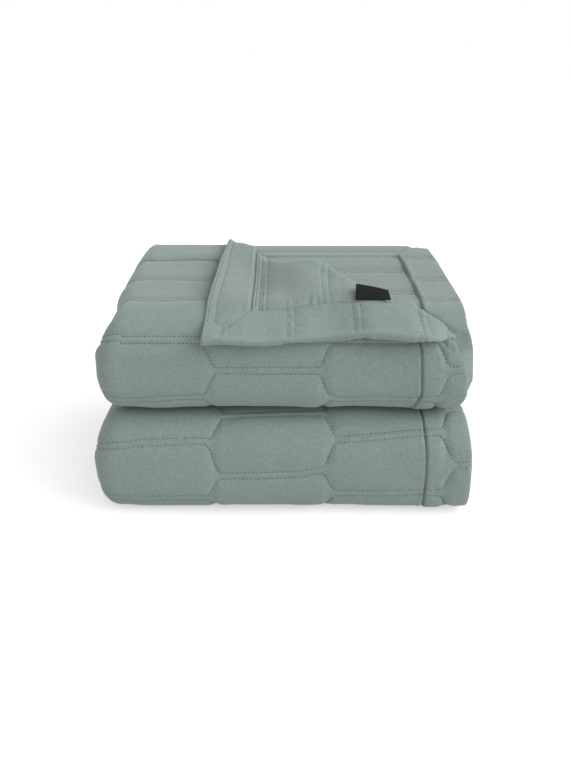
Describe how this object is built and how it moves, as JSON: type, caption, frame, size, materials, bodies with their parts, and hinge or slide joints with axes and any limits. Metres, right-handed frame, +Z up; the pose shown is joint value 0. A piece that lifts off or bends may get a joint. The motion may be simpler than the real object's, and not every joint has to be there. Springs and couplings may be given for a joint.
{
  "type": "folded bedspread",
  "caption": "Quilted bedspread folded into a thick stacked pack with rounded front folds and one top corner turned back over a small plain label.",
  "frame": {"origin": "on the surface that the pack lies on, under the middle of its bounding box", "axes": "+X to the right along the rounded front folds, +Y from the front folds to the back, +Z up"},
  "size_m": [0.3732, 0.2672, 0.2283],
  "materials": {
    "quilted_cloth": "matt sage green brushed cotton, quilted with matching thread",
    "woven_label": "plain black satin weave"
  },
  "bodies": {
    "root": {"bedspread": "quilted_cloth", "label": "woven_label"}
  },
  "joints": []
}
